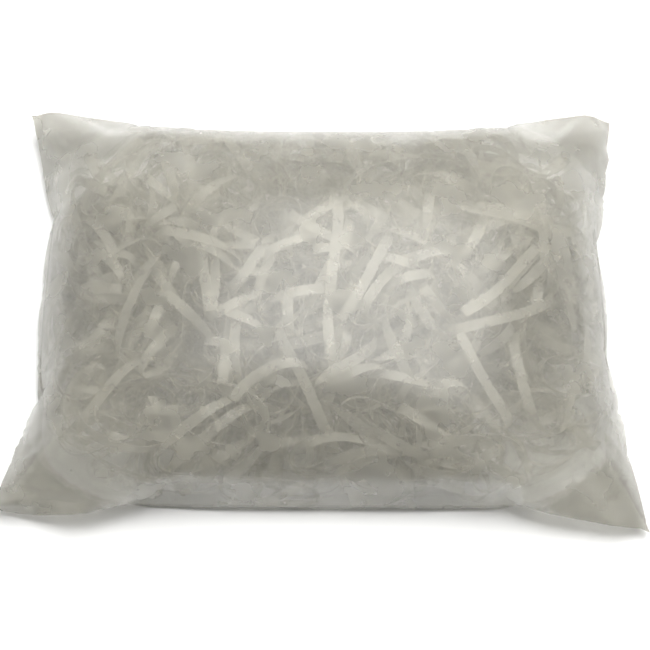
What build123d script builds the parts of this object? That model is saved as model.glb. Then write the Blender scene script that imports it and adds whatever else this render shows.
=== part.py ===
"""A sealed bag of clear elastic poultry leg bands.

The bag was a flat tube of film, 305 x 220 mm, folded along its two long edges and heat-sealed across its two
short ends. It lies on its back, filled with loose bands, so the filling draws its edges in between the
corners. Around the filled part the doubled film is flat. Each corner of it is an ear that bends on a
diagonal crease.

Every band is a flat endless loop. Here the bands stand on edge in layers, each pressed into a narrow oval
of its true circumference. They are groups of separate solids, the same number of groups in each layer.

Frame: origin on the table under the middle of the bag, +X along the long side, +Y to the back, +Z up.
Units are millimetres.
"""

import os
from math import hypot, pi, sqrt

from build123d import *

# The bag's outline
tip_length = 300.0  # between ear tips, along X
tip_width = 218.0  # between ear tips, along Y
end_pull_in = 12.0  # how far the filling draws the middle of each short end in
side_pull_in = 11.0  # the same, for each long side
seal_width = 7.0
film_thickness = 0.2

# The filled part
bag_height = 56.0
seam_height = 10.0  # the flat margin where the two sheets of film meet, above the table
filled_length = 256.0
filled_width = 188.0
filled_corner_radius = 66.0
upper_slope_depth = 58.0  # how far in from the filled outline the flat top starts
lower_slope_depth = 24.0  # the same, for the flat base
slope_power = 2.3  # 1 is a straight slope, 2 an ellipse, more is fuller
slope_steps = (0.0, 0.3, 0.55, 0.75, 0.9, 0.97, 1.0)

# Corner ears
ear_reach = 32.0  # from the crease to the tip
crease_gap = 0.4  # between an ear and the film that it bends against

# Bands
band_circumference = 204.0
band_width = 4.8
band_thickness = 0.3
band_end_radius = 2.4  # of the centreline, where a resting band turns back
band_gap = 1.2  # between neighbours in a layer
wall_gap = 1.0  # between the bands and the film
layer_count = 8
groups_per_layer = 6

half_length, half_width = tip_length / 2, tip_width / 2
upper_rise = bag_height - seam_height
corners = {"front_left": (-1, -1), "front_right": (1, -1), "back_left": (-1, 1), "back_right": (1, 1)}
band_breadth = 2 * band_end_radius + band_thickness
band_length = band_circumference / 2 - pi * band_end_radius + band_breadth
band_pitch = band_breadth + band_gap
lowest_layer = film_thickness + wall_gap
layer_pitch = (bag_height - 2 * lowest_layer - band_width) / (layer_count - 1)


def slope_inset(rise_share):
    """How far in the pillow's slope has come, as a share of its depth, at a share of its rise."""
    return 1 - (1 - rise_share**slope_power) ** (1 / slope_power)


def filled_section(inset, mode=Mode.ADD):
    """A rounded rectangle, drawn in from the filled outline by inset."""
    RectangleRounded(
        filled_length - 2 * inset, filled_width - 2 * inset, filled_corner_radius - inset, mode=mode
    )


def half_pillow(rise, slope_depth, wall):
    """The upper or lower half of the pillow's inside or outside, as a solid that stands on the seam.

    A negative rise goes down. wall is how far the solid stays inside the film's outer face.
    """
    height = rise - wall if rise > 0 else rise + wall
    with BuildPart() as half:
        for share in slope_steps:
            with BuildSketch(Plane.XY.offset(seam_height + height * share)):
                filled_section(wall + (slope_depth - wall) * slope_inset(share))
        loft()
    return half.part


def corner_squares(reach, mode, names=tuple(corners)):
    """Squares over the named corners, each out from a diagonal line that lies reach inside the ear's tip."""
    side = 3 * ear_reach
    out = (side / 2 - reach) / sqrt(2)
    for name in names:
        sx, sy = corners[name]
        with Locations(Location((sx * (half_length + out), sy * (half_width + out), 0), (0, 0, 45))):
            Rectangle(side, side, mode=mode)


def finish(piece, name):
    """Label a piece and write it as a STEP file."""
    piece.part.label = name
    export_step(piece.part, f"parts/{name}.step")


os.makedirs("parts", exist_ok=True)

# The whole outline: sides that curve in between four sharp tips.
with BuildSketch() as outline:
    with BuildLine():
        for end in (-1, 1):
            ThreePointArc(
                (end * half_length, -half_width),
                (end * (half_length - end_pull_in), 0),
                (end * half_length, half_width),
            )
            ThreePointArc(
                (-half_length, end * half_width),
                (0, end * (half_width - side_pull_in)),
                (half_length, end * half_width),
            )
    make_face()

# The outline without its ears.
with BuildSketch() as body_outline:
    add(outline.sketch)
    corner_squares(ear_reach + crease_gap / 2, Mode.SUBTRACT)

# What lies between the two end seals, whose inner edges follow the ends' curves.
with BuildSketch() as between_seals:
    with BuildLine():
        for end in (-1, 1):
            ThreePointArc(
                (end * (half_length - seal_width), -half_width),
                (end * (half_length - end_pull_in - seal_width), 0),
                (end * (half_length - seal_width), half_width),
            )
            Line((seal_width - half_length, end * half_width), (half_length - seal_width, end * half_width))
    make_face()

# The two sheets of film round the filling.
for name, rise, slope_depth in (
    ("upper_film", upper_rise, upper_slope_depth),
    ("lower_film", -seam_height, lower_slope_depth),
):
    with BuildPart() as film:
        add(half_pillow(rise, slope_depth, 0))
        add(half_pillow(rise, slope_depth, film_thickness), mode=Mode.SUBTRACT)
    finish(film, name)

# The end seals: both sheets fused into one strip.
for name, end in (("left_end_seal", -1), ("right_end_seal", 1)):
    with BuildPart() as seal:
        with BuildSketch(Plane.XY.offset(seam_height - film_thickness)):
            add(body_outline.sketch)
            add(between_seals.sketch, mode=Mode.SUBTRACT)
            with Locations((end * half_length, 0)):
                Rectangle(half_length, tip_width, mode=Mode.INTERSECT)
        extrude(amount=2 * film_thickness)
    finish(seal, name)

# The folded edges: both sheets lying flat together, from the filled part out to the fold.
for name, side in (("front_folded_edge", -1), ("back_folded_edge", 1)):
    with BuildPart() as folded_edge:
        with BuildSketch(Plane.XY.offset(seam_height - film_thickness)):
            add(body_outline.sketch)
            add(between_seals.sketch, mode=Mode.INTERSECT)
            filled_section(0, mode=Mode.SUBTRACT)
            with Locations((0, side * half_width / 2)):
                Rectangle(tip_length, half_width, mode=Mode.INTERSECT)
        extrude(amount=2 * film_thickness)
    finish(folded_edge, name)

# The ears: both sheets together, cut on the crease.
for name in corners:
    with BuildPart() as ear:
        with BuildSketch(Plane.XY.offset(seam_height - film_thickness)):
            add(outline.sketch)
            corner_squares(ear_reach - crease_gap / 2, Mode.INTERSECT, [name])
        extrude(amount=2 * film_thickness)
    finish(ear, f"{name}_ear")


def has_room(x, y, inset):
    """Whether a point lies inside the filled outline once that is drawn in by inset."""
    past_x = max(0, abs(x) - (filled_length / 2 - filled_corner_radius))
    past_y = max(0, abs(y) - (filled_width / 2 - filled_corner_radius))
    return hypot(past_x, past_y) <= filled_corner_radius - inset


def layer_inset(low):
    """How far a layer of bands that stands at this height keeps inside the filled outline."""
    above = max(0, low + band_width - seam_height) / (upper_rise - film_thickness)
    below = max(0, seam_height - low) / (seam_height - film_thickness)
    return lowest_layer + max(upper_slope_depth * slope_inset(above), lower_slope_depth * slope_inset(below))


def band_places(low):
    """The centres of the bands in a layer and their turn, lengthwise in two columns or crosswise in one."""
    inset = layer_inset(low)
    rows = [(row + 0.5) * band_pitch for row in range(-layer_rows, layer_rows)]
    column = (band_length + band_gap) / 2
    lengthwise = [
        (x, y)
        for x in (-column, column)
        for y in rows
        if has_room(abs(x) + band_length / 2, abs(y) + band_breadth / 2, inset)
    ]
    crosswise = [(x, 0) for x in rows if has_room(abs(x) + band_breadth / 2, band_length / 2, inset)]
    if len(lengthwise) >= len(crosswise):
        return lengthwise, 0
    return crosswise, 90


layer_rows = int(filled_length / 2 / band_pitch)
for layer in range(layer_count):
    low = lowest_layer + layer * layer_pitch
    places, turn = band_places(low)
    for group in range(groups_per_layer):
        first = round(len(places) * group / groups_per_layer)
        last = round(len(places) * (group + 1) / groups_per_layer)
        with BuildPart() as bands:
            with BuildSketch(Plane.XY.offset(low)):
                with Locations(*places[first:last]):
                    SlotOverall(band_length, band_breadth, rotation=turn)
                    SlotOverall(
                        band_length - 2 * band_thickness,
                        band_breadth - 2 * band_thickness,
                        rotation=turn,
                        mode=Mode.SUBTRACT,
                    )
            extrude(amount=band_width)
        finish(bands, f"bands_layer_{layer + 1}_group_{group + 1}")
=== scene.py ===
"""The looks of a sealed bag of clear poultry leg bands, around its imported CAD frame.

Metres, with +X along the bag's long side, +Y to its back edge, +Z up and the table at zero.
The film is one grid of points, filled and settled by a small simulation and then cut into its pieces.
The bands are strips of two edges each, which grow inside the bag and push each other apart.
"""

import math

import bpy
import numpy as np
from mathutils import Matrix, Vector


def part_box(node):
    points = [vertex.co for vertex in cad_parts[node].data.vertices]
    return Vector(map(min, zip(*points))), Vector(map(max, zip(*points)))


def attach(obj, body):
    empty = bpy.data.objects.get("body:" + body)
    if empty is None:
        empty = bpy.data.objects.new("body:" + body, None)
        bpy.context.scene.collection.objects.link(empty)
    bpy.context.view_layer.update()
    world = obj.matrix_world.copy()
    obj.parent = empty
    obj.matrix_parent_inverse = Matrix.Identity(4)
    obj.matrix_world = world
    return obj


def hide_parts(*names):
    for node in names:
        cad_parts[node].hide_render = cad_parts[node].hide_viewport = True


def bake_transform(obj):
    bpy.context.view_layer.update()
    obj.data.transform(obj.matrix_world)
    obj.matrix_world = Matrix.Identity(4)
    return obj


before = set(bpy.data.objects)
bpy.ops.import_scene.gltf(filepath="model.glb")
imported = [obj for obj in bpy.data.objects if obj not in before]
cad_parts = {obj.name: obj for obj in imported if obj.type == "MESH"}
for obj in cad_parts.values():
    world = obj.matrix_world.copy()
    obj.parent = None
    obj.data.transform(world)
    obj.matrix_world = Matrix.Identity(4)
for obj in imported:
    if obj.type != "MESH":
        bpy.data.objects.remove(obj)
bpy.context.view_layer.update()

# ---------------------------------------------------------------- the bag's film

# The tube of film as it was cut, and the grid of points that each of its two sheets has.
FLAT_LENGTH = 0.305  # along X, from one end to the other
FLAT_WIDTH = 0.220  # along Y, from fold to fold
CELLS_LONG = 120
CELLS_WIDE = 90  # cells are about as long as they are wide
COARSE = 3  # the grid is first settled with this many times fewer cells each way
SEAL_CELLS = 3  # width of an end seal
EDGE_CELLS = 4  # width of a folded edge's flat strip
EAR_CELLS = 18  # along each edge, from an ear's tip to its crease
FILM_THICKNESS = 0.00015
INNER = 0.00003  # from the middle between two touching sheets to each sheet's inner face
OUTER = INNER + FILM_THICKNESS

# How the bag is filled
BAG_VOLUME = 0.00214  # cubic metres
COARSE_ROUNDS = 320
FINE_ROUNDS = 110
SETTLES = 10
FILL_SPEED = 0.3  # share of the missing volume that one round adds
FILLED_POWER = 3  # squareness of the filled middle: 2 is an ellipse, more is squarer
FILLED_EDGE = 4  # how sharply the filling's push ends at its outline
TIP_PULL = 0.15  # share of the way that an ear's tip moves to its place in one round
WEIGHT = 0.00003  # how far the film sinks in one round
COARSE_STIFFNESS = 0.02  # share of the way that a point moves to its neighbours' middle in one round
FINE_STIFFNESS = 0.05
FILM_DIAGONALS = 0.4  # share of a diagonal's wrong length that each of its ends takes up at once
START_SEAM = 0.01  # height of the film's edges before it is filled
START_RISE = 0.03  # of the upper sheet's middle above them
START_SAG = 0.01  # of the lower sheet's middle below them
CRUMPLE = 0.0028  # unevenness of the film before it is filled
FILM_SEED = 3

# Where each ear's tip comes to rest: out from its CAD tip along X and Y, and above the table.
EAR_TIPS = {
    "front_left": (-0.003, 0.011, 0.003),
    "front_right": (0.006, -0.009, 0.001),
    "back_left": (-0.002, 0.003, 0.012),
    "back_right": (-0.003, -0.001, 0.007),
}
SIDES = {"front_left": (-1, -1), "front_right": (1, -1), "back_left": (-1, 1), "back_right": (1, 1)}
UPPER, LOWER = 0, 1


def settle(a, b, rest, share=0.5):
    """Moves two sets of points, in place, towards the distance that they are apart at rest."""
    gap = b - a
    length = np.sqrt(np.einsum("...i,...i", gap, gap))[..., None]
    gap *= share * (1 - rest / np.maximum(length, 1e-9))
    a += gap
    b -= gap


def settle_film(film, cell):
    """One round of the film's own lengths: along the grid both ways, then on its diagonals."""
    long_step, wide_step = cell
    across = math.hypot(*cell)
    for first in (0, 1):
        settle(film[:, :, first:-1:2], film[:, :, first + 1 :: 2], long_step)
        settle(film[:, first:-1:2], film[:, first + 1 :: 2], wide_step)
    for first in (0, 1):
        left, right = film[:, :, first:-1:2], film[:, :, first + 1 :: 2]
        settle(left[:, :-1], right[:, 1:], across, FILM_DIAGONALS)
        settle(left[:, 1:], right[:, :-1], across, FILM_DIAGONALS)


def outward_areas(film):
    """The outward area vector of every point of the upper and the lower sheet."""
    areas = np.cross(np.gradient(film, axis=2), np.gradient(film, axis=1))
    areas[LOWER] *= -1
    return areas


def flatten_bends(film, share):
    """Film resists bending, so every point moves a little towards the middle of its neighbours."""
    middle = film[:, 1:-1, 1:-1]
    around = film[:, :-2, 1:-1] + film[:, 2:, 1:-1] + film[:, 1:-1, :-2] + film[:, 1:-1, 2:]
    middle += share * (around / 4 - middle)
    for edge in (film[:, 0], film[:, -1]):
        edge[:, 1:-1] += share * ((edge[:, :-2] + edge[:, 2:]) / 2 - edge[:, 1:-1])


def fill_bag(film, rounds, stiffness, tips):
    """Fills the bag to its volume as it lies on the table: the film keeps its lengths, so it puckers."""
    rows, columns = film.shape[1:3]
    cell = (FLAT_LENGTH / (columns - 1), FLAT_WIDTH / (rows - 1))
    sealed = SEAL_CELLS * (columns - 1) // CELLS_LONG + 1
    joined = np.zeros((rows, columns), bool)
    joined[0] = joined[-1] = True
    joined[:, :sealed] = joined[:, -sealed:] = True
    across, up = np.linspace(-1, 1, columns), np.linspace(-1, 1, rows)[:, None]
    outline = 1 - np.abs(across) ** FILLED_POWER - np.abs(up) ** FILLED_POWER
    filled = np.clip(FILLED_EDGE * outline, 0, 1)[..., None]
    for _ in range(rounds):
        areas = outward_areas(film)
        volume = np.sum(film * areas) / 3
        push = areas * filled
        film += push * (FILL_SPEED * (BAG_VOLUME - volume) / np.sum(push**2))
        film[..., 2] -= WEIGHT
        for _ in range(SETTLES):
            settle_film(film, cell)
        flatten_bends(film, stiffness)
        for (row, column), tip in tips.items():
            film[:, row, column] += TIP_PULL * (np.array(tip) - film[:, row, column])
        film[:, joined] = film[:, joined].mean(0)
        below = film[UPPER, ..., 2] < film[LOWER, ..., 2]
        film[:, below] = film[:, below].mean(0)
        np.maximum(film[..., 2], 0, out=film[..., 2])
    return film


def finer(film, factor):
    """The same film with factor times as many cells each way, its new points placed in between."""
    for axis in (1, 2):
        count = film.shape[axis] - 1
        at = np.linspace(0, count, count * factor + 1)
        low = np.minimum(at.astype(int), count - 1)
        share = (at - low).reshape([-1 if a == axis else 1 for a in range(4)])
        film = film.take(low, axis) * (1 - share) + film.take(low + 1, axis) * share
    return film


def ear_tip(name):
    """Where an ear's tip comes to rest."""
    low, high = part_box(f"{name}_ear")
    sx, sy = SIDES[name]
    dx, dy, z = EAR_TIPS[name]
    return (high.x if sx > 0 else low.x) + dx, (high.y if sy > 0 else low.y) + dy, z


def lay_film():
    """The bag's film as a grid of points: (upper or lower sheet, along Y, along X, xyz)."""
    rows, columns = CELLS_WIDE // COARSE + 1, CELLS_LONG // COARSE + 1
    x = np.linspace(-FLAT_LENGTH / 2, FLAT_LENGTH / 2, columns)
    y = np.linspace(-FLAT_WIDTH / 2, FLAT_WIDTH / 2, rows)
    film = np.zeros((2, rows, columns, 3))
    film[..., 0] = x
    film[..., 1] = y[:, None]
    swell = np.sin(np.pi * (x / FLAT_LENGTH + 0.5)) * np.sin(np.pi * (y / FLAT_WIDTH + 0.5))[:, None]
    film[UPPER, ..., 2] = START_SEAM + START_RISE * swell
    film[LOWER, ..., 2] = START_SEAM - START_SAG * swell
    film[..., 2] += np.random.default_rng(FILM_SEED).normal(size=(rows, columns)) * CRUMPLE
    ends = {
        (-1 if sy > 0 else 0, -1 if sx > 0 else 0): ear_tip(name) for name, (sx, sy) in SIDES.items()
    }
    film = fill_bag(film, COARSE_ROUNDS, COARSE_STIFFNESS, ends)
    return fill_bag(finer(film, COARSE), FINE_ROUNDS, FINE_STIFFNESS, ends)


# ---------------------------------------------------------------- the bands inside

BAND_LENGTH = 0.204  # round one band
BAND_WIDTH = 0.0048
BAND_THICKNESS = 0.0003
CAD_BREADTH = 0.0051  # of a band as it stands in its CAD node
CAD_PITCH = 0.0063  # from one band there to the next
LENGTHWISE_LAYERS = tuple(f"bands_layer_{layer}_" for layer in range(1, 7))  # bands along X

# The loops that the bands start as
START_RADIUS = 0.012
START_SPREAD = (0.055, 0.032, 0.005)  # about the CAD bands' places, along X, Y and Z
START_MARGIN = 0.9  # share of the filled middle that they start in
START_FACING = (1, 1, 3)  # most loops lie flat, so their facing is mostly up
START_WAVES = ((2, 0.6), (3, 0.4), (4, 0.2))  # waves round a loop, and their share of its size
START_FLATNESS = (1, 1, 0.4)  # the waves are mostly level
BAND_SEED = 11

# How they grow and settle
BAND_ROWS = 56  # rows of points along one band while it settles
BAND_ROUNDS = 240
BAND_SETTLES = 4
BAND_DIAGONALS = 0.3  # share of a diagonal's wrong length that each of its ends takes up at once
START_GROWN = 0.35  # share of its size that a band has at first
GROWTH = 1.3  # share of its size that it would gain over all the rounds, but it stops at its full size
BAND_STIFFNESS = 0.00012  # how fast the short waves along a band die away
STRAIGHTENED_SHARE = 0.97  # of its length that a band keeps once it is straightened
TOUCH_EVERY = 3  # rounds between two looks for bands that run through each other
BAND_RADIUS = 0.0017  # how near the middle of one band comes to the middle of another, halved
NEXT_ROWS = 3  # how far along one band rows count as neighbours, which may be near each other

# The film around them
BAND_CLEARANCE = 0.0012  # that the bands keep from the film
LARGEST_PUSH = 0.004  # back inside the film in one round
MAP_STEP = 0.002
MAP_FINER = 3  # times the film's own points each way, so that the maps have no holes
MAP_SEAM = 0.01  # height of both sheets where the maps have no film
FILLED_LENGTH = 0.256  # of the filled middle, which the bands can't leave
FILLED_WIDTH = 0.188
TURN_BACK = 0.05  # how steeply the maps cross each other outside it


def height_maps(film):
    """The heights of the upper and the lower sheet on a square grid over the table."""
    columns, rows = int(FLAT_LENGTH / MAP_STEP) + 1, int(FLAT_WIDTH / MAP_STEP) + 1
    dense = finer(film, MAP_FINER)
    column = np.clip(np.rint((dense[..., 0] + FLAT_LENGTH / 2) / MAP_STEP).astype(int), 0, columns - 1)
    row = np.clip(np.rint((dense[..., 1] + FLAT_WIDTH / 2) / MAP_STEP).astype(int), 0, rows - 1)
    ceiling, ground = np.full((rows, columns), -1.0), np.full((rows, columns), 1.0)
    np.maximum.at(ceiling, (row[UPPER], column[UPPER]), dense[UPPER, ..., 2])
    np.minimum.at(ground, (row[LOWER], column[LOWER]), dense[LOWER, ..., 2])
    ceiling[ceiling < 0] = MAP_SEAM
    ground[ground == 1] = MAP_SEAM
    x, y = np.linspace(-1, 1, columns), np.linspace(-1, 1, rows)[:, None]
    across = np.abs(x * FLAT_LENGTH / FILLED_LENGTH) ** FILLED_POWER
    up = np.abs(y * FLAT_WIDTH / FILLED_WIDTH) ** FILLED_POWER
    past = np.maximum(0, (across + up) ** (1 / FILLED_POWER) - 1) * TURN_BACK
    return ceiling - past, ground + past


def keep_inside(points, height_map, up):
    """Moves points back inside one sheet of the film, at right angles to the sheet."""
    rows, columns = height_map.shape
    u = np.clip((points[..., 0] + FLAT_LENGTH / 2) / MAP_STEP, 0, columns - 1.001)
    v = np.clip((points[..., 1] + FLAT_WIDTH / 2) / MAP_STEP, 0, rows - 1.001)
    column, row = u.astype(int), v.astype(int)
    u, v = u - column, v - row
    a, b = height_map[row, column], height_map[row, column + 1]
    c, d = height_map[row + 1, column], height_map[row + 1, column + 1]
    slope_x = ((b - a) * (1 - v) + (d - c) * v) / MAP_STEP
    slope_y = ((c - a) * (1 - u) + (d - b) * u) / MAP_STEP
    height = (a * (1 - u) + b * u) * (1 - v) + (c * (1 - u) + d * u) * v
    steepness = np.sqrt(1 + slope_x**2 + slope_y**2)
    past = (points[..., 2] - height) * up / steepness + BAND_CLEARANCE
    past = np.clip(past, 0, LARGEST_PUSH) / steepness
    points[..., 0] += up * slope_x * past
    points[..., 1] += up * slope_y * past
    points[..., 2] -= up * past


def settle_bands(strips, length):
    """One round of the bands' own lengths: along both edges, on the diagonals and across."""
    step = length / BAND_ROWS
    across = math.hypot(step, BAND_WIDTH)
    for turn in (0, -1):
        turned = np.roll(strips, turn, axis=1)
        this, after = turned[:, 0::2], turned[:, 1::2]
        settle(this, after, step)
        settle(this[:, :, 0], after[:, :, 1], across, BAND_DIAGONALS)
        settle(this[:, :, 1], after[:, :, 0], across, BAND_DIAGONALS)
        strips[:] = np.roll(turned, -turn, axis=1)
    settle(strips[:, :, 0], strips[:, :, 1], BAND_WIDTH)


def straighten(strips):
    """Bands resist bending, so the short waves along each of them die away first."""
    waves = np.fft.rfft(strips, axis=1)
    order = np.arange(waves.shape[1])[None, :, None, None]
    return np.fft.irfft(waves / (1 + BAND_STIFFNESS * order**4.0), BAND_ROWS, axis=1)


def touching_pairs(points, reach):
    """Pairs of points that may be nearer than reach, found through a grid of cells of that size."""
    cell = np.floor(points / reach).astype(np.int64)
    cell -= cell.min(0) - 1
    size = cell.max(0) + 2
    key = (cell[:, 0] * size[1] + cell[:, 1]) * size[2] + cell[:, 2]
    order = np.argsort(key, kind="stable")
    key = key[order]
    around = [(0, 0, 1)] + [(0, 1, z) for z in (-1, 0, 1)]
    around += [(1, y, z) for y in (-1, 0, 1) for z in (-1, 0, 1)]
    spans = [(np.arange(len(key)) + 1, np.searchsorted(key, key, "right"))]
    for dx, dy, dz in around:
        wanted = key + (dx * size[1] + dy) * size[2] + dz
        spans.append((np.searchsorted(key, wanted, "left"), np.searchsorted(key, wanted, "right")))
    first, second = [], []
    for low, high in spans:
        count = np.maximum(high - low, 0)
        start = np.repeat(np.cumsum(count) - count, count)
        first.append(order[np.repeat(np.arange(len(key)), count)])
        second.append(order[np.arange(count.sum()) - start + np.repeat(low, count)])
    return np.concatenate(first), np.concatenate(second)


def part_bands(strips, radius):
    """Moves bands apart where they run through each other or themselves."""
    middle = strips.mean(2).reshape(-1, 3)
    a, b = touching_pairs(middle, 2 * radius)
    along = np.abs(a - b)
    apart = (a // BAND_ROWS != b // BAND_ROWS) | ((along > NEXT_ROWS) & (along < BAND_ROWS - NEXT_ROWS))
    a, b = a[apart], b[apart]
    gap = middle[b] - middle[a]
    distance = np.sqrt(np.einsum("ij,ij->i", gap, gap))
    near = distance < 2 * radius
    a, b, gap, distance = a[near], b[near], gap[near], distance[near]
    push = gap * (0.5 * (2 * radius - distance) / np.maximum(distance, 1e-6))[:, None]
    count = np.bincount(a, minlength=len(middle)) + np.bincount(b, minlength=len(middle))
    for axis in range(3):
        move = np.bincount(b, push[:, axis], len(middle)) - np.bincount(a, push[:, axis], len(middle))
        strips[..., axis] += (move / np.maximum(count, 1)).reshape(-1, BAND_ROWS, 1)


def start_bands(places, random):
    """A small loose loop near each place, at any tilt and with soft waves of its own."""
    count = len(places)
    places = places + random.normal(size=(count, 3)) * START_SPREAD
    limit = START_MARGIN / 2 * np.array([FILLED_LENGTH, FILLED_WIDTH])
    out = np.sum(np.abs(places[:, :2] / limit) ** FILLED_POWER, axis=1) ** (1 / FILLED_POWER)
    places[:, :2] /= np.maximum(1, out)[:, None]
    facing = random.normal(size=(count, 1, 3)) * START_FACING
    facing /= np.linalg.norm(facing, axis=-1, keepdims=True)
    across = np.cross(facing, random.normal(size=(count, 1, 3)))
    across /= np.linalg.norm(across, axis=-1, keepdims=True)
    turn = np.linspace(0, 2 * math.pi, BAND_ROWS, endpoint=False)[None, :, None]
    line = np.cos(turn) * across + np.sin(turn) * np.cross(facing, across)
    for waves, share in START_WAVES:
        for wave in (np.cos(waves * turn), np.sin(waves * turn)):
            line = line + share * wave * random.normal(size=(count, 1, 3)) * START_FLATNESS
    line = places[:, None] + START_RADIUS * line
    half = facing * BAND_WIDTH / 2
    return np.stack([line - half, line + half], axis=2)


def lay_bands(places, film):
    """All the bands: (band, row along it, one edge or the other, xyz)."""
    ceiling, ground = height_maps(film)
    strips = start_bands(places, np.random.default_rng(BAND_SEED))
    for done in range(BAND_ROUNDS):
        grown = min(1, START_GROWN + GROWTH * done / BAND_ROUNDS)
        for _ in range(BAND_SETTLES):
            settle_bands(strips, BAND_LENGTH / STRAIGHTENED_SHARE * grown)
        strips = straighten(strips)
        if done % TOUCH_EVERY == 0:
            part_bands(strips, BAND_RADIUS * grown)
        keep_inside(strips, ceiling, 1)
        keep_inside(strips, ground, -1)
    return strips


def band_places(node):
    """The middles of the bands in one CAD node, which stand side by side."""
    low, high = (np.array(corner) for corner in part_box(node))
    side = 1 if node.startswith(LENGTHWISE_LAYERS) else 0
    count = round((high[side] - low[side] - CAD_BREADTH) / CAD_PITCH) + 1
    places = np.tile((low + high) / 2, (count, 1))
    places[:, side] += (np.arange(count) - (count - 1) / 2) * CAD_PITCH
    return places


film = lay_film()
band_nodes = sorted(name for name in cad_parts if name.startswith("bands_"))
node_places = [band_places(node) for node in band_nodes]
bands = lay_bands(np.concatenate(node_places), film)

# ---------------------------------------------------------------- materials

# Noise is given by its waves per metre and its detail, and ranges by their lowest and highest value.
NOISE_RANGE = (0.3, 0.7)  # what most of any noise lies between
MIX_COLOURS = (6, 7)  # sockets of a mix node's two colours
MIXED_COLOUR = 2  # socket of its result
FILM_ALPHA = 0.55
FILM_IOR = 1.4
FILM_CLOUDS = (60, 3)
FILM_GRAIN = (2200, 2)
FILM_DARK = (0.54, 0.528, 0.475, 1)
FILM_LIGHT = (0.65, 0.637, 0.578, 1)
FILM_ROUGHNESS = (0.20, 0.30)
FILM_CLEARNESS = (0.74, 0.82)
GRAIN_STRENGTH = 0.25
GRAIN_DEPTH = 0.00004
BAND_ALPHA = 0.4
BAND_IOR = 1.5
BAND_CLOUDS = (180, 2)
BAND_DARK = (0.70, 0.68, 0.61, 1)
BAND_LIGHT = (0.94, 0.92, 0.84, 1)
BAND_ROUGHNESS = (0.22, 0.42)
BAND_CLEARNESS = 0.5


def shader(name, **values):
    """A new material with its Principled shader's values by socket name, its node tree and the shader."""
    material = bpy.data.materials.new(name)
    material.use_nodes = True
    principled = material.node_tree.nodes["Principled BSDF"]
    for socket, value in values.items():
        principled.inputs[socket.replace("_", " ")].default_value = value
    return material, material.node_tree, principled


def add_node(tree, kind, links=(), **values):
    """A node with its values set by socket name, and its inputs linked to other nodes' outputs."""
    node = tree.nodes.new(kind)
    for socket, value in values.items():
        node.inputs[socket.replace("_", " ")].default_value = value
    for socket, output in dict(links).items():
        tree.links.new(output, node.inputs[socket])
    return node


def object_noise(tree, waves, detail):
    """Noise that stays on the object."""
    where = tree.nodes.new("ShaderNodeTexCoord")
    noise = add_node(
        tree, "ShaderNodeTexNoise", {"Vector": where.outputs["Object"]}, Scale=waves, Detail=detail
    )
    return noise.outputs["Fac"]


def spread(tree, noise, low, high):
    """Noise brought to a range of values."""
    noise_low, noise_high = NOISE_RANGE
    ranged = add_node(
        tree,
        "ShaderNodeMapRange",
        {"Value": noise},
        From_Min=noise_low,
        From_Max=noise_high,
        To_Min=low,
        To_Max=high,
    )
    return ranged.outputs["Result"]


def tint(tree, noise, dark, light):
    """A colour that goes from dark to light with the noise."""
    mix = add_node(tree, "ShaderNodeMix", {"Factor": noise})
    mix.data_type = "RGBA"
    for socket, colour in zip(MIX_COLOURS, (dark, light)):
        mix.inputs[socket].default_value = colour
    return mix.outputs[MIXED_COLOUR]


def film_material():
    """Frosted polyethylene: rough and see-through, milky in soft clouds, with a fine grain."""
    material, tree, principled = shader("film", Alpha=FILM_ALPHA, IOR=FILM_IOR)
    clouds = object_noise(tree, *FILM_CLOUDS)
    grain = object_noise(tree, *FILM_GRAIN)
    bump = add_node(tree, "ShaderNodeBump", {"Height": grain}, Strength=GRAIN_STRENGTH, Distance=GRAIN_DEPTH)
    for socket, output in (
        ("Base Color", tint(tree, clouds, FILM_DARK, FILM_LIGHT)),
        ("Roughness", spread(tree, clouds, *FILM_ROUGHNESS)),
        ("Transmission Weight", spread(tree, grain, *FILM_CLEARNESS)),
        ("Normal", bump.outputs["Normal"]),
    ):
        tree.links.new(output, principled.inputs[socket])
    return material


def joined_material():
    """Where one area of the film runs on into the next, its cut face doesn't show."""
    return shader("film_runs_on", Alpha=0.0, Specular_IOR_Level=0.0)[0]


def band_material():
    """Clear glossy elastomer, a little cloudy."""
    material, tree, principled = shader(
        "band", Alpha=BAND_ALPHA, IOR=BAND_IOR, Transmission_Weight=BAND_CLEARNESS
    )
    clouds = object_noise(tree, *BAND_CLOUDS)
    tree.links.new(tint(tree, clouds, BAND_DARK, BAND_LIGHT), principled.inputs["Base Color"])
    tree.links.new(spread(tree, clouds, *BAND_ROUGHNESS), principled.inputs["Roughness"])
    return material


film_look, joined_look, band_look = film_material(), joined_material(), band_material()

# ---------------------------------------------------------------- the film's pieces


def triangles_by_area():
    """The grid's triangles, with their edges along the ears' creases, by the name of the film's area."""
    areas = {}
    for row in range(CELLS_WIDE):
        for column in range(CELLS_LONG):
            corners = [(row, column), (row, column + 1), (row + 1, column + 1), (row + 1, column)]
            numbers = [r * (CELLS_LONG + 1) + c for r, c in corners]
            left, front = column < CELLS_LONG / 2, row < CELLS_WIDE / 2
            turn = 1 if left == front else 0
            corners, numbers = corners[turn:] + corners[:turn], numbers[turn:] + numbers[:turn]
            for picked in ((0, 1, 2), (0, 2, 3)):
                across = [min(corners[i][1], CELLS_LONG - corners[i][1]) for i in picked]
                up = [min(corners[i][0], CELLS_WIDE - corners[i][0]) for i in picked]
                name = area_name(sum(across) / 3, sum(up) / 3, "left" if left else "right", front)
                areas.setdefault(name, []).append([numbers[i] for i in picked])
    return {name: np.array(triangles) for name, triangles in areas.items()}


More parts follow.
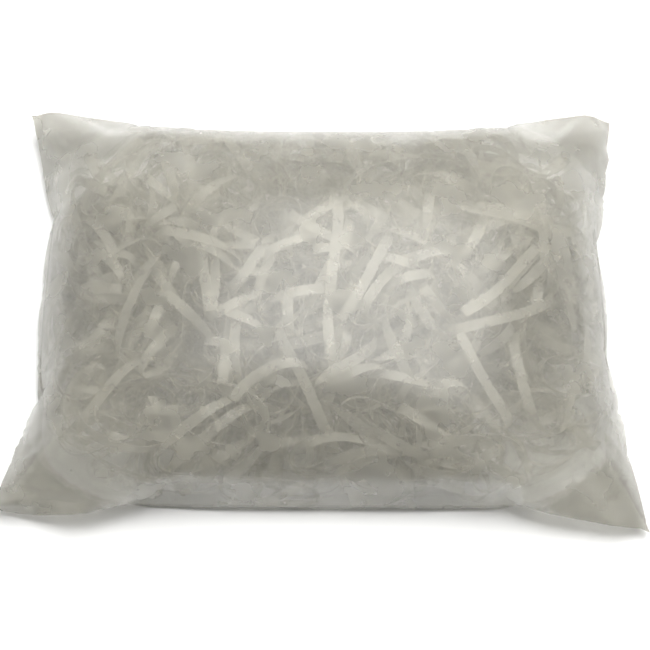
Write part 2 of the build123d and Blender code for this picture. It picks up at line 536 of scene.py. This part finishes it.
def area_name(from_end, from_fold, end, front):
    """The area that a place on the grid belongs to, from its distance in cells to the film's edges."""
    side = "front" if front else "back"
    if from_end + from_fold < EAR_CELLS:
        return f"{side}_{end}_ear"
    if from_end < SEAL_CELLS:
        return f"{end}_end_seal"
    if from_fold < EDGE_CELLS:
        return f"{side}_folded_edge"
    return "film"


def layer(points, normals, triangles, inner, outer):
    """A closed thin layer of film: its corners and faces, their corners' normals and their materials."""
    used, triangles = np.unique(triangles, return_inverse=True)
    triangles = triangles.reshape(-1, 3)
    points, normals = points[used], normals[used]
    corners = np.concatenate([points + normals * outer, points + normals * inner])
    edges = np.concatenate([triangles[:, [0, 1]], triangles[:, [1, 2]], triangles[:, [2, 0]]])
    key = edges[:, 0] * len(used) + edges[:, 1]
    rim = edges[~np.isin(key, edges[:, 1] * len(used) + edges[:, 0])]
    walls = np.stack([rim[:, 1], rim[:, 0], rim[:, 0] + len(used), rim[:, 1] + len(used)], axis=1)
    rows, columns = used // (CELLS_LONG + 1), used % (CELLS_LONG + 1)
    on_edge = [(rows == 0), (rows == CELLS_WIDE), (columns == 0), (columns == CELLS_LONG)]
    free = np.any([edge[rim[:, 0]] & edge[rim[:, 1]] for edge in on_edge], axis=0)
    across = np.cross(points[rim[:, 1]] - points[rim[:, 0]], normals[rim[:, 0]])
    across /= np.maximum(np.linalg.norm(across, axis=1, keepdims=True), 1e-12)
    faces = triangles.tolist() + (triangles[:, ::-1] + len(used)).tolist() + walls.tolist()
    smooth = [normals[triangles], -normals[triangles[:, ::-1]], np.repeat(across[:, None], 4, axis=1)]
    looks = np.concatenate([np.zeros(2 * len(triangles), int), np.where(free, 0, 1)])
    return corners, faces, np.concatenate([part.reshape(-1, 3) for part in smooth]), looks


def add_mesh(name, corners, faces, materials):
    """A new smooth mesh with its materials."""
    mesh = bpy.data.meshes.new(name)
    mesh.from_pydata(corners, [], faces)
    mesh.shade_smooth()
    for material in materials:
        mesh.materials.append(material)
    piece = bpy.data.objects.new(name, mesh)
    bpy.context.scene.collection.objects.link(piece)
    return piece


def add_film(name, layers, node):
    """One piece of film, of one or two thin layers, in place of its CAD node."""
    corners, faces, normals, looks = [], [], [], []
    for part in layers:
        faces += [[number + len(corners) for number in face] for face in part[1]]
        corners += part[0].tolist()
        normals += part[2].tolist()
        looks += part[3].tolist()
    piece = add_mesh(name, corners, faces, [film_look, joined_look])
    piece.data.polygons.foreach_set("material_index", looks)
    piece.data.normals_split_custom_set(normals)
    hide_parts(node)
    return piece


points = film.reshape(2, -1, 3)
normals = outward_areas(film)
normals = (normals / np.maximum(np.linalg.norm(normals, axis=-1, keepdims=True), 1e-12)).reshape(2, -1, 3)
areas = triangles_by_area()


def sheet_layer(sheet, triangles, inner=INNER):
    """The layer of one sheet of the film over some of the grid's triangles."""
    facing = triangles if sheet == UPPER else triangles[:, ::-1]
    return layer(points[sheet], normals[sheet], facing, inner, OUTER)


for name in ("left_end_seal", "right_end_seal"):
    seal = add_film(name + "_strip", [sheet_layer(UPPER, areas[name], -OUTER)], name)
    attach(seal, "filled_bag")

for name, sheet in (("upper_film", UPPER), ("lower_film", LOWER)):
    piece = add_film(name + "_sheet", [sheet_layer(sheet, areas["film"])], name)
    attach(piece, "filled_bag")

for name in ("front_folded_edge", "back_folded_edge"):
    piece = add_film(name + "_strip", [sheet_layer(sheet, areas[name]) for sheet in (UPPER, LOWER)], name)
    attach(piece, "filled_bag")

for corner, (sx, sy) in SIDES.items():
    name = corner + "_ear"
    piece = add_film(name + "_film", [sheet_layer(sheet, areas[name]) for sheet in (UPPER, LOWER)], name)
    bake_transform(piece)

# ---------------------------------------------------------------- the bands' pieces

SHARP_ANGLE = math.radians(50)  # between faces that meet at a visible edge


def smoother(strips):
    """Twice as many rows along each band, the new ones on a smooth curve through the old."""
    before, after, next_after = (np.roll(strips, turn, axis=1) for turn in (1, -1, -2))
    between = (9 * (strips + after) - before - next_after) / 16
    return np.stack([strips, between], axis=2).reshape(len(strips), -1, 2, 3)


def band_section(strips):
    """The four corners of each band's section, at every row along it."""
    across = strips[:, :, 1] - strips[:, :, 0]
    along = np.roll(strips, -1, axis=1).mean(2) - np.roll(strips, 1, axis=1).mean(2)
    out = np.cross(along, across)
    out *= BAND_THICKNESS / 2 / np.maximum(np.linalg.norm(out, axis=-1, keepdims=True), 1e-12)
    near, far = strips[:, :, 0], strips[:, :, 1]
    return np.stack([near + out, far + out, far - out, near - out], axis=2)


def band_faces(count, rows):
    """The faces of closed strips whose corners are numbered by band, row and corner."""
    number = np.arange(count * rows * 4).reshape(count, rows, 4)
    after = np.roll(number, -1, axis=1)
    turned, after_turned = np.roll(number, -1, axis=2), np.roll(after, -1, axis=2)
    return np.stack([number, after, after_turned, turned], axis=-1).reshape(-1, 4)


group_ends = np.cumsum([len(places) for places in node_places])
for node, group in zip(band_nodes, np.split(bands, group_ends[:-1])):
    sections = band_section(smoother(group))
    faces = band_faces(len(group), sections.shape[1])
    piece = add_mesh(node + "_loops", sections.reshape(-1, 3).tolist(), faces.tolist(), [band_look])
    piece.data.set_sharp_from_angle(angle=SHARP_ANGLE)
    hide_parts(node)
    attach(piece, "filled_bag")

# ---------------------------------------------------------------- table, camera and light

TABLE_SIZE = 4
TABLE_COLOUR = (0.8, 0.8, 0.79, 1)
TABLE_ROUGHNESS = 0.7
CAMERA_LENS = 85.6
CAMERA_ELEVATION = math.radians(65)
CAMERA_DISTANCE = 0.745
CAMERA_TARGET = Vector((0.0007, -0.0062, 0.005))
STUDIO_COLOUR = (0.92, 0.92, 0.91, 1)
STUDIO_STRENGTH = 0.30
TRANSPARENT_BOUNCES = 64  # many layers of film and bands lie over each other
LIGHT_BOUNCES = 24

bpy.ops.mesh.primitive_plane_add(size=TABLE_SIZE)
table = bpy.context.object
table.name = "table"
table_look, _, _ = shader("table", Base_Color=TABLE_COLOUR, Roughness=TABLE_ROUGHNESS)
table.data.materials.append(table_look)

camera = bpy.data.objects.new("camera", bpy.data.cameras.new("camera"))
bpy.context.scene.collection.objects.link(camera)
bpy.context.scene.camera = camera
camera.data.lens = CAMERA_LENS
back = Vector((0, -math.cos(CAMERA_ELEVATION), math.sin(CAMERA_ELEVATION)))
camera.location = CAMERA_TARGET + back * CAMERA_DISTANCE
camera.rotation_euler = (math.pi / 2 - CAMERA_ELEVATION, 0, 0)

world = bpy.data.worlds.new("studio")
bpy.context.scene.world = world
world.use_nodes = True
background = world.node_tree.nodes["Background"]
background.inputs["Color"].default_value = STUDIO_COLOUR
background.inputs["Strength"].default_value = STUDIO_STRENGTH


def softbox(name, place, size, power):
    """A square soft light that faces the bag."""
    light = bpy.data.objects.new(name, bpy.data.lights.new(name, "AREA"))
    light.data.energy = power
    light.data.size = size
    light.location = place
    light.rotation_euler = (-Vector(place)).to_track_quat("-Z", "Y").to_euler()
    bpy.context.scene.collection.objects.link(light)


softbox("key", place=(0.14, 0.34, 1.08), size=0.9, power=24)
bpy.context.scene.view_settings.view_transform = "Standard"
bpy.context.scene.cycles.transparent_max_bounces = TRANSPARENT_BOUNCES
bpy.context.scene.cycles.max_bounces = LIGHT_BOUNCES
bpy.context.scene.cycles.transmission_bounces = LIGHT_BOUNCES
